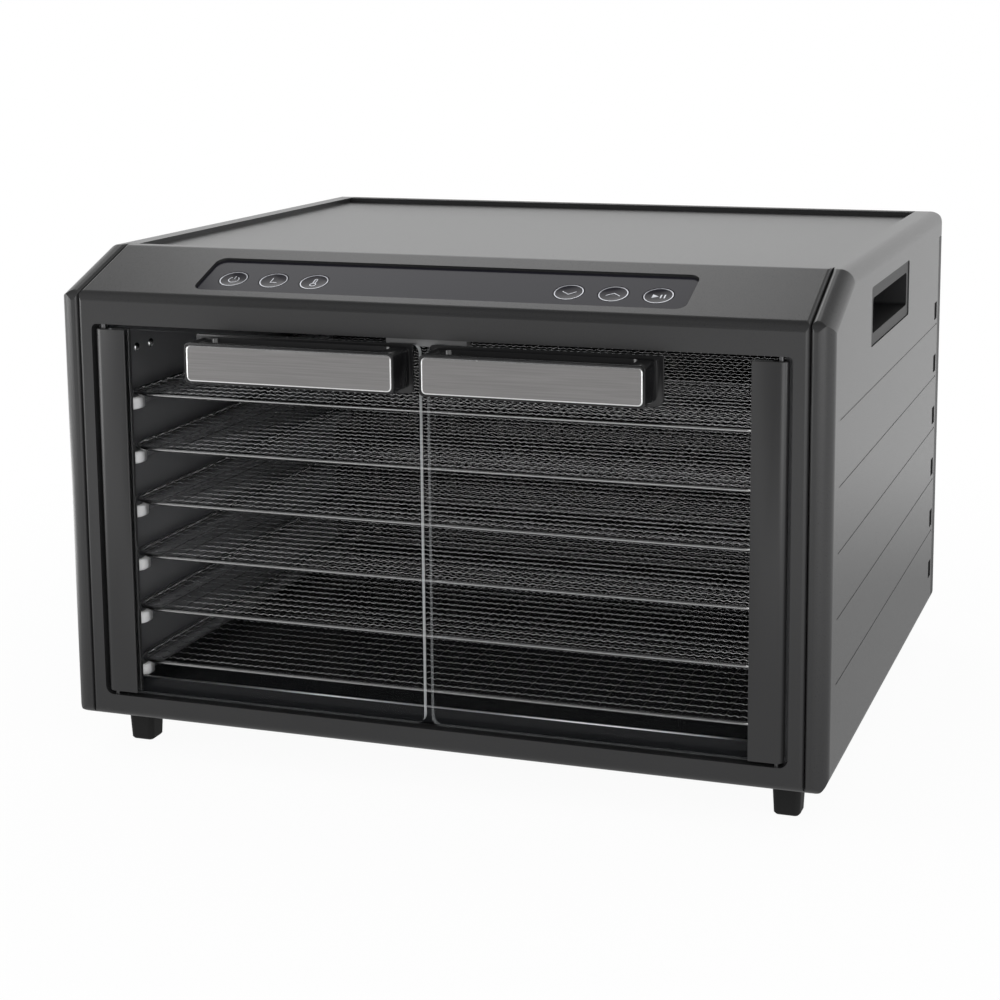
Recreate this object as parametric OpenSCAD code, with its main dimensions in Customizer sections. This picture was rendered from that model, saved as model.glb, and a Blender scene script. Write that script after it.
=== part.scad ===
// Cabinet food dehydrator with two clear swing doors, six wire trays and a rear fan.
// Millimetres, +X to the right, +Y to the back, +Z up. The trays set the size of the chamber,
// and the chamber sets the size of the body.

/* [Trays] */
// Width of a wire tray over its frame rod
tray_w = 369; // [320:1:400]
// Depth of a wire tray over its frame rod
tray_d = 294; // [240:1:320]
// Height from one tray to the next
tray_pitch = 30.7; // [26:0.1:36]
// Corner radius of the tray frame
tray_r = 16; // [8:0.5:24]
// Diameter of the frame rod
rod_d = 2.5; // [2:0.1:3.2]
// Diameter of the mesh wires
wire_d = 0.9; // [0.7:0.05:1.1]
// Spacing of the wires that run front to back
mesh_x = 11.2; // [9:0.1:16]
// Spacing of the wires that run across
mesh_y = 9; // [8:0.1:16]
// Height of the crumb tray's rim
crumb_h = 8; // [6:0.5:11]

/* [Chamber] */
// Gap between a tray's side and the liner wall
tray_gap = 5.5; // [4:0.5:8]
// Width of a tray rail
rail_w = 13; // [10:0.5:15]
// Height of a tray rail
rail_h = 6; // [4:0.5:7]
// Thickness of the liner sheets
liner_t = 2; // [1.5:0.1:2.6]
// Height of the lowest rail above the chamber floor
floor_gap = 15.4; // [13:0.1:24]
// Height of the chamber above the top rail
head_gap = 42.1; // [36:0.1:60]
// Depth of the fan space behind the baffle
fan_space = 48; // [46:1:60]

/* [Body] */
// Height of the feet
foot_h = 22.5; // [16:0.5:30]
// Width of a foot at its top
foot_w = 16; // [12:0.5:22]
// Height of the front sill under the doors
sill_h = 13.1; // [11:0.1:18]
// Height of the front band over the doors
header_h = 16.6; // [14:0.1:22]
// Height of the sloped control fascia
fascia_h = 20.8; // [19.5:0.1:24]
// Tilt of the fascia from level
fascia_angle = 21; // [18:0.5:22]
// Wall of the moulded shells
wall = 2.8; // [2.4:0.1:3.2]
// Rounding of the long side edges
edge_r = 8; // [5:0.5:10]
// Space between the liner and the side shell
side_space = 20.2; // [19:0.2:28]
// Width of the side shell's front return
side_return = 11.5; // [10:0.5:14]
// Gap between the top panel and the underside of the rim
panel_gap = 0.2; // [0.2:0.1:2]
// Depth of the rear cover's edge
cover_d = 14; // [12:0.5:18]

/* [Doors] */
// Gap between a door and the bezel at the sides
door_gap_x = 2.2; // [1.8:0.1:3]
// Gap between a door and the bezel above and below
door_gap_z = 2.5; // [2:0.1:3.5]
// Gap between the two doors
door_gap_mid = 4.2; // [3:0.1:6]
// Thickness of the clear pane
pane_t = 3.6; // [3:0.1:4.2]
// Width of the opaque hinge stile
stile_w = 18.3; // [15:0.1:22]
// Thickness of the hinge stile
stile_t = 8; // [7:0.1:8.6]
// Diameter of the hinge pins
pin_d = 3; // [2.4:0.1:3.2]

/* [Handles] */
// Width of the handle's front bar
handle_w = 119.3; // [100:0.1:130]
// Height of the handle's front bar
handle_h = 21.6; // [19:0.1:26]
// Reach of the handle from the door
handle_reach = 23; // [18:0.1:26]
// Distance from the door's free edge to the bar
handle_inset = 4.9; // [4:0.1:9]

/* [Controls] */
// Width of the glossy overlay
overlay_w = 275; // [262:1:294]
// Height of the glossy overlay along the fascia
overlay_h = 36; // [32:0.5:38]
// Diameter of a push button
button_d = 16; // [13:0.5:17]
// Spacing of the buttons in a group
button_pitch = 24; // [19:0.5:26]
// Distance from the overlay's end to the outermost button
button_end = 17.5; // [14:0.5:26]

/* [Side grips] */
// Length of the grip's mouth
grip_l = 128; // [110:1:140]
// Height of the grip's mouth
grip_h = 32.4; // [30:0.2:34]
// Distance from the front to the grip's mouth
grip_front = 107; // [90:1:130]

/* [Hidden] */
$fn = 48;

// Fits and small common sizes
seam = 0.4;            // gap between two moulded shells
seam_r = 2.2;          // rounding of the shells beside the front seam
fit = 0.3;             // gap round a piece that sits in a cut-out
rest_gap = 0.3;        // gap under a loose tray
turn_fit = 0.06;       // radial play of a turning pin
tray_count = 6;
tray_set = 3.7;        // liner's front edge to the closed tray
tray_back = 1;         // tray to the rear baffle
rail_set = 3.2;
crumb_set = 1.5;
jamb_t = 2.4;          // wall round the door opening
jamb_d = 8.5;          // depth of the door opening
jamb_step = 5;         // liner wall to door opening, sideways
opening_r_low = 5;
opening_r_top = 3;
crease_r = 6;          // rounding of the side outline's corners
bottom_r = 9;          // rounding of the lower long edges
rear_r = 4;            // rounding of the rear corners in plan
rim_w = 17;            // width of the raised rim at the sides
rim_lip = 2.4;         // thickness of the rim's inner edge
fascia_lip = 6;        // top lip of the bezel behind the fascia

// Heights
floor_z = foot_h + sill_h;
function rail_z(i) = floor_z + floor_gap + i*tray_pitch;
ceil_z = rail_z(tray_count - 1) + head_gap;
fascia_z = ceil_z + header_h;
body_h = fascia_z + fascia_h;
panel_z = body_h - wall - panel_gap;
pan_t = 2.4;           // base pan's sheet
flange_drop = 20;      // top panel's rear flange
screw_r = 1.7;
screw_boss_r = 4;
post_x = 120;
post_front = 70;
post_back = 44;        // rear posts to the baffle
screw_low = 14;        // cover screws over the base and under the panel
screw_high = 12;
screw_side = 12;       // cover screws inside the rim

// Widths
chamber_x = tray_w/2 + tray_gap;
liner_x = chamber_x + liner_t;
body_w = 2*(liner_x + side_space + wall);
opening_x = chamber_x + jamb_step;
seam_x = body_w/2 - side_return;
rim_x = body_w/2 - rim_w;
panel_x = body_w/2 - wall - 4;

// Depths
tray_y = jamb_d + tray_set;
rail_y = jamb_d + rail_set;
crumb_y = jamb_d + crumb_set;
baffle_y = tray_y + tray_d + tray_back;
housing_y = baffle_y + liner_t + fan_space;
cover_y = housing_y + 2;
body_d = cover_y + cover_d;
crease_y = fascia_h/tan(fascia_angle);
lip_y = crease_y + fascia_lip;
cover_low = foot_h + bottom_r - 2;
cover_top = body_h - edge_r*2;
cover_screw_x = rim_x - screw_side;
cover_screw_places = [for (x = [-cover_screw_x, 0, cover_screw_x])
    for (z = [foot_h + screw_low, panel_z - screw_high]) [x, z]];
post_places = [for (x = [-post_x, post_x], y = [post_front, baffle_y - post_back]) [x, y]];

// Doors
door_x0 = door_gap_mid/2;
door_x1 = opening_x - door_gap_x;
door_z0 = floor_z + door_gap_z;
door_z1 = ceil_z - door_gap_z;
stile_y0 = -1.2;
pane_y0 = 0.2;
pane_corner_r = 5;
pivot_x = door_x1 - stile_t/2;
pivot_y = stile_y0 + stile_t/2;
catch_w = 45;
catch_h = 4.6;
catch_gap = 1.4;       // doors to the catch
pane_grip = 10;        // how far the stile's slot holds the pane
pin_in = 12;           // pin length held in the stile
pin_out = 7;           // pin length in the bezel's boss

// Handles
handle_front = pane_y0 - handle_reach;
flange_t = 1.8;
flange_in = 2;         // flange past the bar, towards the door's free edge
flange_out = 3.7;
flange_top = 1.5;
flange_low = 3;
bar_x0 = door_x0 + handle_inset;
bar_z1 = door_z1 - flange_top;
bar_z0 = bar_z1 - handle_h;
bar_x1 = bar_x0 + handle_w;
plate_m = 1.3;         // black rim left round the steel plate
plate_t = 0.8;
plate_proud = 0.1;
trough_y0 = handle_front + 5;
trough_y1 = pane_y0 - 4;
trough_end = 8;
trough_z = bar_z0 + 7;
handle_screw_r = 1.5;
handle_screw_l = 8;
screw_x = [bar_x0 + 4.5, bar_x1 - 4.5];
screw_z = (bar_z0 + bar_z1)/2;

// Fascia, measured up the slope from its foot
fascia_len = fascia_h/sin(fascia_angle);
overlay_s = (fascia_len - overlay_h)/2 - 1;
overlay_mid = overlay_s + overlay_h/2;
overlay_t = 1.6;
overlay_sink = 1.5;
overlay_r = 6;
button_t = 2.2;
press_room = 1.4;      // free depth under a button
pad_t = 1.6;           // floor under the button pockets
pocket_n = -overlay_sink - button_t - press_room;
pad_n = pocket_n - pad_t;
button_s = overlay_mid - 2.5;
button_out = overlay_w/2 - button_end;
button_x = [for (i = [0:5]) (i < 3 ? -1 : 1)*(button_out - button_pitch*(i < 3 ? i : 5 - i))];
button_gap = 0.4;
dish_r = 60;           // hollow of a button's top
dish_deep = 0.6;
stem_d = 8;
stem_end = -9;
switch_n = stem_end - 1.1;
board_n = switch_n - 2.4;
board_t = 1.6;
window_w = 76;

// Power board over the chamber
pb_x = 60;
pb_y0 = 100;
pb_len = 80;
pb_y1 = pb_y0 + pb_len;
pb_lift = 4;
pb_top = pb_lift + board_t;
pb_post_in = 6;
pb_in = 10;            // parts in from the board's front
pb_post_r = 3;
relay_w = 32;
relay_h = 19.4;
capacitor_r = 6.5;
capacitor_h = 16;
terminal_h = 10.4;

// Grips, vents and grooves in the side shells
grip_z1 = body_h - edge_r*2;
grip_z0 = grip_z1 - grip_h;
grip_sink = 0.6;
grip_band = 6.6;
grip_wall = 2;
grip_depth = side_space - 2;
vent_count = 6;
vent_w = 10;
vent_h = 11;
vent_pitch = (ceil_z - floor_z - vent_h/2)/vent_count;
vent_z0 = floor_z + vent_h + 4;
vent_y = cover_y - vent_w - 4.2;
groove_drop = 9;
groove_w = 1;
groove_deep = 0.25;
groove_front = 20;

// Fan, heater and rear cover
fan_z = (floor_z + ceil_z)/2;
fan_r = 68;
fan_y = baffle_y + liner_t + 6;
fan_t = 16;
hub_r = 17;
shaft_d = 5;
motor_r = 31;
motor_y0 = fan_y + fan_t + 4;
heater_r = 80;
heater_tube = 6.5;
heater_gap = 10;       // half the angle between the tube's ends
heater_y = fan_y + fan_t/2;
heater_end = 12;       // straight ends of the tube
clip_half = 6;         // half the width of a heater clip
clip_fit = 0.2;        // clip's bore round the tube
housing_gap = 10;      // heater clips to the housing's sides
housing_h = 2*(heater_r + clip_half + housing_gap);
housing_x = heater_r + 38;
housing_clear = 0.6;   // housing to the base pan's flange
sheet = 1.2;
sensor_r = 2.2;
sensor_in = 14;        // reach of the probe into the chamber
sensor_out = 10;       // its tail behind the baffle
sensor_drop = 9.3;     // probe under the housing's roof
sensor_z = fan_z + housing_h/2 - sheet - sensor_drop;
pan_flange_z = fan_z - housing_h/2 - housing_clear;
inlet_in = 48;         // inlet's middle from the rim
inlet_x = inlet_in - rim_x;
inlet_w = 27.6;
inlet_h = 20;
inlet_z = pan_flange_z + inlet_h/2 + 2;
inlet_lip = 2;         // how far the inlet stands out of the back
foot_in = 18;          // body side to foot side
foot_front = 25.7;

// The whole model stands with the middle of its footprint at the origin
mid_y = (body_d + inlet_lip + handle_front - plate_proud)/2;
module seated() translate([0, -mid_y, 0]) children();

// ---- Shapes that many pieces share ----
function unit(v) = v/norm(v);

// Box between two corners
module slab(a, b) translate(a) cube(b - a);

// Rectangle with round corners, exact
module soft_rect(a, b, r) union() {
    translate([a[0] + r, a[1]]) square([b[0] - a[0] - 2*r, b[1] - a[1]]);
    translate([a[0], a[1] + r]) square([b[0] - a[0], b[1] - a[1] - 2*r]);
    for (x = [a[0] + r, b[0] - r], y = [a[1] + r, b[1] - r]) translate([x, y]) circle(r);
}

// Convex outline with a round of its own at every corner, exact
module soft_outline(pts, radii) {
    n = len(pts);
    corner = [for (i = [0:n - 1])
        let (b = pts[i], u = unit(pts[(i + n - 1)%n] - b), w = unit(pts[(i + 1)%n] - b),
             half = acos(u*w)/2)
        [b + u*radii[i]/tan(half), b + w*radii[i]/tan(half), b + unit(u + w)*radii[i]/sin(half)]];
    union() {
        polygon([for (c = corner) each [c[0], c[1]]]);
        for (i = [0:n - 1]) if (radii[i] > 0) translate(corner[i][2]) circle(radii[i]);
    }
}

// Outlines drawn in Y and Z, in X and Z, or in X and Y, swept along the third axis
module along_x(x0, x1) translate([x0, 0, 0]) rotate([90, 0, 90]) linear_extrude(x1 - x0) children();
module along_y(y0, y1) translate([0, y1, 0]) rotate([90, 0, 0]) linear_extrude(y1 - y0) children();
module along_z(z0, z1) translate([0, 0, z0]) linear_extrude(z1 - z0) children();

// Fascia frame: X across, Y up the slope, Z outwards
module on_fascia() translate([0, 0, fascia_z]) rotate([fascia_angle, 0, 0]) children();

// Left-hand twin of a right-hand piece
module twin() mirror([1, 0, 0]) children();

// Side view of the body, drawn in by t
module side_outline(t) {
    foot_in_z = fascia_z - t*tan(45 - fascia_angle/2);
    crease_in_y = crease_y + t*tan(fascia_angle/2);
    soft_outline([[t, foot_h + t], [t, foot_in_z], [crease_in_y, body_h - t],
        [body_d - t, body_h - t], [body_d - t, foot_h + t]],
        [crease_r - t, crease_r, crease_r, crease_r - t, crease_r - t]);
}

// Body's outer form, drawn in by t: four sweeps that cut each other
module body_form(t) {
    hw = body_w/2 - t;
    intersection() {
        along_x(-hw, hw) side_outline(t);
        along_y(-1, body_d + 1)
            soft_outline([[-hw, foot_h + t], [hw, foot_h + t], [hw, body_h - t], [-hw, body_h - t]],
                [bottom_r - t, bottom_r - t, edge_r - t, edge_r - t]);
        along_z(0, body_h)
            soft_outline([[-hw, t], [hw, t], [hw, body_d - t], [-hw, body_d - t]],
                [edge_r - t, edge_r - t, rear_r - t/2, rear_r - t/2]);
        on_fascia() along_y(-body_h, body_d)
            soft_outline([[-hw, -2*body_h], [hw, -2*body_h], [hw, -t], [-hw, -t]],
                [0, 0, edge_r - t, edge_r - t]);
    }
}

module body_skin() difference() {
    body_form(0);
    body_form(wall);
}

// Everything behind the front and the fascia from x0 to x1, with rounded ends
module front_span(x0, x1, r0, r1) intersection() {
    along_z(0, body_h + 1)
        soft_outline([[x0, 0], [x1, 0], [x1, body_d + 1], [x0, body_d + 1]], [r0, r1, 0, 0]);
    on_fascia() along_y(-body_h, body_d + body_h)
        soft_outline([[x0, -2*body_h], [x1, -2*body_h], [x1, 0], [x0, 0]], [0, 0, r1, r0]);
}

// ---- Side shells ----
module vent_row() for (i = [0:vent_count - 1])
    slab([seam_x, vent_y, vent_z0 + i*vent_pitch - vent_h/2],
        [body_w, vent_y + vent_w, vent_z0 + i*vent_pitch + vent_h/2]);

module groove_row() for (i = [1:vent_count - 1])
    slab([body_w/2 - groove_deep, groove_front, vent_z0 + i*vent_pitch - groove_drop - groove_w/2],
        [body_w, vent_y + vent_w, vent_z0 + i*vent_pitch - groove_drop + groove_w/2]);

module side_shell() difference() {
    union() {
        intersection() {
            body_skin();
            union() {
                intersection() {
                    slab([seam_x, -1, 0], [body_w, lip_y + seam, body_h + 1]);
                    front_span(seam_x, body_w, seam_r, 0);
                }
                slab([seam_x, lip_y + seam, 0], [body_w, body_d + 1, body_h + 1]);
                slab([rim_x, lip_y + seam, panel_z], [body_w, body_d + 1, body_h + 1]);
            }
        }
        slab([rim_x, lip_y + seam, panel_z], [rim_x + rim_lip, cover_y - seam, body_h]);
    }
    slab([0, cover_y - seam, cover_low - seam], [body_w, body_d + 1, cover_top + seam]);
    slab([0, cover_y - seam, 0], [rim_x, body_d + 1, body_h + 1]);
    vent_row();
    groove_row();
    along_x(seam_x, body_w) soft_rect([grip_front, grip_z0], [grip_front + grip_l, grip_z1], 2);
}
module left_side_shell() color([0.22, 0.22, 0.23]) seated() twin() side_shell();
module right_side_shell() color([0.22, 0.22, 0.23]) seated() side_shell();

// ---- Front bezel with the control fascia ----
module opening_outline(m) soft_outline([[-opening_x - m, floor_z - m], [opening_x + m, floor_z - m],
    [opening_x + m, ceil_z + m], [-opening_x - m, ceil_z + m]],
    [opening_r_low + m, opening_r_low + m, opening_r_top + m, opening_r_top + m]);

module overlay_outline(m) soft_rect([-overlay_w/2 - m, overlay_s - m],
    [overlay_w/2 + m, overlay_s + overlay_h + m], overlay_r);

module bezel_hinge_boss(x, z0, z1) translate([x, pivot_y, 0]) intersection() {
    along_z(z0, z1) circle(pin_d/2 + 3);
    slab([-20, -pivot_y, 0], [20, 20, body_h]);
}

module front_bezel() color([0.20, 0.20, 0.21]) seated() difference() {
    bx = seam_x - seam;
    union() {
        intersection() {
            body_skin();
            front_span(-bx, bx, seam_r, seam_r);
            union() {
                slab([-bx, -1, 0], [bx, 12, fascia_z]);
                slab([-bx, -1, fascia_z - 1], [bx, lip_y, body_h + 1]);
            }
        }
        slab([-rim_x, lip_y - rim_lip, panel_z], [rim_x, lip_y, body_h]);
        along_y(wall - 0.5, jamb_d) opening_outline(jamb_t);
        intersection() {
            body_form(0.5);
            on_fascia() along_z(pad_n, -1) overlay_outline(3);
        }
        for (x = [-pivot_x, pivot_x]) {
            bezel_hinge_boss(x, floor_z - pin_out - 2, floor_z - 1);
            bezel_hinge_boss(x, ceil_z + 1, ceil_z + pin_out + 2);
        }
        on_fascia()
            for (x = [-overlay_w/2 + 6, overlay_w/2 - 6], s = [overlay_s + 6, overlay_s + overlay_h - 6])
            translate([x, s, board_n]) cylinder(r = 2.5, h = pad_n - board_n + 1);
    }
    along_y(-1, jamb_d + 1) opening_outline(0);
    for (x = [-pivot_x, pivot_x], z = [floor_z - pin_out, ceil_z - 1])
        translate([x, pivot_y, z]) cylinder(r = pin_d/2 + turn_fit, h = pin_out + 1);
    on_fascia() {
        along_z(-overlay_t - overlay_sink, 5) overlay_outline(fit);
        for (x = button_x) translate([x, button_s, 0]) {
            translate([0, 0, pocket_n]) cylinder(d = button_d + 2*button_gap, h = 2 - pocket_n);
            translate([0, 0, -12]) cylinder(d = stem_d + 2*button_gap, h = 10);
        }
        slab([-window_w/2, overlay_s + 6, -12], [window_w/2, overlay_s + overlay_h - 6, 0]);
    }
}

// ---- Top panel, base and rear cover ----
module top_panel() color([0.26, 0.26, 0.27]) seated() difference() {
    union() {
        along_z(panel_z - liner_t, panel_z)
            soft_rect([-panel_x, crease_y + 2], [panel_x, cover_y - seam], 1);
        slab([-seam_x + 3, cover_y - seam - liner_t, panel_z - flange_drop],
            [seam_x - 3, cover_y - seam, panel_z]);
    }
    for (p = cover_screw_places) translate([p[0], cover_y - 10, p[1]]) rotate([-90, 0, 0])
        cylinder(r = screw_r, h = 20);
}

module base_pan() color([0.18, 0.18, 0.19]) seated() difference() {
    union() {
        slab([-seam_x + seam, 12 + seam, foot_h], [seam_x - seam, cover_y - seam, foot_h + pan_t]);
        slab([-seam_x + 3, cover_y - seam - pan_t, foot_h],
            [seam_x - 3, cover_y - seam, pan_flange_z]);
        for (p = post_places) translate([p[0], p[1], foot_h + 1])
            cylinder(r = screw_boss_r, h = sill_h - liner_t - 1);
    }
    for (p = post_places) translate([p[0], p[1], foot_h - 1]) cylinder(r = screw_r, h = sill_h - liner_t);
    for (p = cover_screw_places) translate([p[0], cover_y - 10, p[1]]) rotate([-90, 0, 0])
        cylinder(r = screw_r, h = 20);
    for (x = [-7:7]) slab([x*10 - 2, body_d/2 + 60, 0], [x*10 + 2, body_d/2 + 110, foot_h + 5]);
}

// Slots of the round intake grille, in rings round the fan's axis
module grille_slots(r_in, r_out, rings, y0, y1) for (k = [0:rings - 1])
    along_y(y0, y1) translate([0, fan_z]) difference() {
        r = r_in + (r_out - r_in)*k/rings;
        circle(r + (r_out - r_in)/rings*0.55);
        circle(r);
        for (a = [0, 60, 120]) rotate(a + k*30) square([2*r_out + 20, 5], center = true);
    }

module rear_cover() color([0.14, 0.14, 0.15]) seated() difference() {
    union() {
        intersection() {
            body_skin();
            union() {
                slab([-body_w/2, cover_y, cover_low], [body_w/2, body_d + 1, cover_top]);
                slab([-rim_x + seam, cover_y, foot_h], [rim_x - seam, body_d + 1, body_h]);
                slab([-seam_x + seam, cover_y, foot_h], [seam_x - seam, body_d + 1, panel_z - seam]);
            }
        }
        slab([-rim_x + seam, cover_y, panel_z], [rim_x - seam, cover_y + rim_lip, body_h]);
        for (p = cover_screw_places) translate([p[0], cover_y, p[1]]) rotate([-90, 0, 0])
            cylinder(r = screw_boss_r, h = cover_d - 1);
    }
    grille_slots(22, 84, 5, body_d - wall - 1, body_d + 1);
    slab([inlet_x - inlet_w/2 - 0.01, cover_y, inlet_z - inlet_h/2 - 0.01],
        [inlet_x + inlet_w/2 + 0.01, body_d + 1, inlet_z + inlet_h/2 + 0.01]);
    for (p = cover_screw_places) translate([p[0], cover_y - 1, p[1]]) rotate([-90, 0, 0])
        cylinder(r = screw_r, h = cover_d + 2);
}

// Pan-head screw, its shank along +Z from the seat of the head
module pan_screw(r, l) union() {
    cylinder(r = r, h = l);
    translate([0, 0, -r]) cylinder(r1 = r*1.6, r2 = r*2, h = r);
}

module rear_cover_screws() color([0.5, 0.5, 0.52]) seated()
    for (p = cover_screw_places) translate([p[0], body_d, p[1]]) rotate([90, 0, 0])
        pan_screw(screw_r, cover_d + 3);

module base_screws() color([0.5, 0.5, 0.52]) seated()
    for (p = post_places) translate([p[0], p[1], foot_h]) pan_screw(screw_r, sill_h - liner_t - 1);

// ---- Drying chamber ----
// Rail with a rounded front end and inner edge
module rail(z) {
    r = rail_h/2;
    x0 = chamber_x - rail_w + r;
    y0 = rail_y + r;
    slab([x0, y0, z - rail_h], [chamber_x + 0.5, baffle_y, z]);
    translate([x0, y0, z - r]) {
        rotate([-90, 0, 0]) cylinder(r = r, h = baffle_y - y0);
        rotate([0, 90, 0]) cylinder(r = r, h = rail_w - r + 0.5);
        sphere(r = r);
    }
}

module liner() union() {
    slab([chamber_x, jamb_d, floor_z - liner_t], [liner_x, baffle_y, ceil_z + liner_t]);
    slab([chamber_x, jamb_d, floor_z - liner_t], [opening_x + jamb_t, jamb_d + liner_t, ceil_z + liner_t]);
    for (i = [0:tray_count - 1]) rail(rail_z(i));
}
module left_liner() color([0.16, 0.16, 0.17]) seated() twin() liner();
module right_liner() color([0.16, 0.16, 0.17]) seated() liner();

module liner_ceiling() color([0.16, 0.16, 0.17]) seated()
    slab([-chamber_x, jamb_d, ceil_z], [chamber_x, baffle_y, ceil_z + liner_t]);

module liner_floor() color([0.16, 0.16, 0.17]) seated()
    slab([-chamber_x, jamb_d, floor_z - liner_t], [chamber_x, baffle_y, floor_z]);

module rear_baffle() color([0.18, 0.18, 0.19]) seated() difference() {
    slab([-liner_x, baffle_y, floor_z - liner_t], [liner_x, baffle_y + liner_t, ceil_z + liner_t]);
    grille_slots(16, 76, 6, baffle_y - 1, baffle_y + liner_t + 1);
    for (x = [-1, 1], i = [0:4], k = [0:5])
        slab([x*(104 + k*14) - 3, baffle_y - 1, floor_z + 18 + i*38],
            [x*(104 + k*14) + 3, baffle_y + 3, floor_z + 42 + i*38]);
    translate([0, baffle_y - 1, sensor_z]) rotate([-90, 0, 0]) cylinder(r = sensor_r, h = 4);
}

module temperature_sensor() color([0.75, 0.75, 0.76]) seated()
    translate([0, baffle_y, sensor_z]) rotate([-90, 0, 0]) {
    translate([0, 0, -sensor_in]) cylinder(r = sensor_r, h = sensor_in + sensor_out);
    translate([0, 0, -sensor_in]) sphere(r = sensor_r);
    translate([0, 0, -2]) cylinder(r = sensor_r + 2, h = 2);
}

// ---- Fan and heater ----
module fan_housing() color([0.62, 0.63, 0.64]) seated() difference() {
    y0 = baffle_y + liner_t;
    slab([-housing_x, y0, fan_z - housing_h/2], [housing_x, housing_y, fan_z + housing_h/2]);
    slab([-housing_x + sheet, y0 - 1, fan_z - housing_h/2 + sheet],
        [housing_x - sheet, housing_y - sheet, fan_z + housing_h/2 - sheet]);
    grille_slots(38, heater_r + clip_half, 4, housing_y - 3, housing_y + 1);
    for (a = [45:90:315]) translate([24*cos(a), housing_y - 5, fan_z + 24*sin(a)]) rotate([-90, 0, 0])
        cylinder(r = 1.8, h = 8);
}

module fan_motor() color([0.45, 0.46, 0.48]) seated() translate([0, 0, fan_z]) rotate([-90, 0, 0]) {
    translate([0, 0, motor_y0]) cylinder(r = motor_r, h = housing_y - sheet - motor_y0);
    translate([0, 0, motor_y0 - 2]) cylinder(r = 11, h = 3);
    translate([0, 0, fan_y + 3]) cylinder(d = shaft_d, h = motor_y0 - fan_y);
}

module fan_wheel() color([0.70, 0.71, 0.72]) seated() translate([0, fan_y, fan_z]) rotate([-90, 0, 0])
    difference() {
        union() {
            cylinder(r = hub_r, h = fan_t);
            intersection() {
                cylinder(r = fan_r, h = fan_t);
                for (a = [0:360/7:359]) rotate(a) translate([hub_r - 2, 0, fan_t/2]) rotate([35, 0, 0])
                    translate([0, -15, -0.8]) cube([fan_r, 30, 1.6]);
            }
        }
        translate([0, 0, 2]) cylinder(d = shaft_d + 2*turn_fit, h = fan_t);
    }

// Open ring of heating tube with two upright ends
module heater_element() color([0.40, 0.38, 0.36]) seated() translate([0, heater_y, fan_z]) {
    rotate([90, 0, 0]) rotate([0, 0, 90 + heater_gap]) rotate_extrude(angle = 360 - 2*heater_gap)
        translate([heater_r, 0]) circle(d = heater_tube);
    for (a = [90 - heater_gap, 90 + heater_gap]) translate([heater_r*cos(a), 0, heater_r*sin(a)]) {
        sphere(d = heater_tube);
        cylinder(d = heater_tube, h = heater_end);
    }
}

module heater_clips() color([0.66, 0.67, 0.68]) seated() for (a = [0, 180, 270]) difference() {
    translate([heater_r*cos(a), 0, fan_z + heater_r*sin(a)])
        slab([-clip_half, baffle_y + liner_t, -clip_half], [clip_half, heater_y + clip_half, clip_half]);
    translate([0, heater_y, fan_z]) rotate([90, 0, 0]) rotate_extrude() translate([heater_r, 0])
        circle(d = heater_tube + 2*clip_fit);
}

// ---- Controls ----
module control_overlay() color([0.10, 0.10, 0.12]) seated() on_fascia() difference() {
    along_z(-overlay_t - overlay_sink, -overlay_sink) overlay_outline(0);
    for (x = button_x) translate([x, button_s, -5]) cylinder(d = button_d + 2*button_gap, h = 10);
}

module control_board() color([0.08, 0.35, 0.18]) seated() on_fascia() {
    slab([-overlay_w/2, overlay_s + 1, board_n - board_t], [overlay_w/2, overlay_s + overlay_h - 1, board_n]);
    for (x = button_x) slab([x - 3, button_s - 3, board_n], [x + 3, button_s + 3, switch_n]);
    slab([-window_w/2 + 4, overlay_s + 9, board_n],
        [window_w/2 - 4, overlay_s + overlay_h - 9, -overlay_t - overlay_sink - 0.6]);
}

module power_board() color([0.08, 0.35, 0.18]) seated() translate([0, 0, ceil_z + liner_t]) {
    slab([-pb_x, pb_y0, pb_lift], [pb_x, pb_y1, pb_top]);
    for (x = [pb_post_in - pb_x, pb_x - pb_post_in], y = [pb_y0 + pb_post_in, pb_y1 - pb_post_in])
        translate([x, y, 0]) cylinder(r = pb_post_r, h = pb_lift);
    slab([-pb_x/3 - relay_w/2, pb_y0 + pb_in, pb_top],
        [relay_w/2 - pb_x/3, pb_y0 + pb_in + relay_w, pb_top + relay_h]);
    for (k = [1, 2.6]) translate([k*pb_x/6, pb_y0 + 2.5*pb_in, pb_top])
        cylinder(r = capacitor_r, h = capacitor_h);
    slab([pb_x - 3*pb_post_in, pb_y0 + 2*pb_post_in, pb_top],
        [pb_x - pb_post_in, pb_y1 - 5*pb_post_in, pb_top + terminal_h]);
}

module button(i) color([0.12, 0.12, 0.14]) seated() on_fascia()
    translate([button_x[i], button_s, 0]) difference() {
    union() {
        translate([0, 0, -overlay_sink - button_t]) cylinder(d = button_d, h = button_t);
        translate([0, 0, stem_end]) cylinder(d = stem_d, h = -stem_end - overlay_sink - 1);
    }
    translate([0, 0, dish_r - dish_deep - overlay_sink]) sphere(r = dish_r, $fn = 96);
}

// ---- Door catch and power inlet ----
module door_catch() color([0.35, 0.35, 0.36]) seated()
    slab([-catch_w/2, pane_y0 + pane_t + catch_gap, ceil_z - catch_h], [catch_w/2, jamb_d + 3, ceil_z]);

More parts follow.
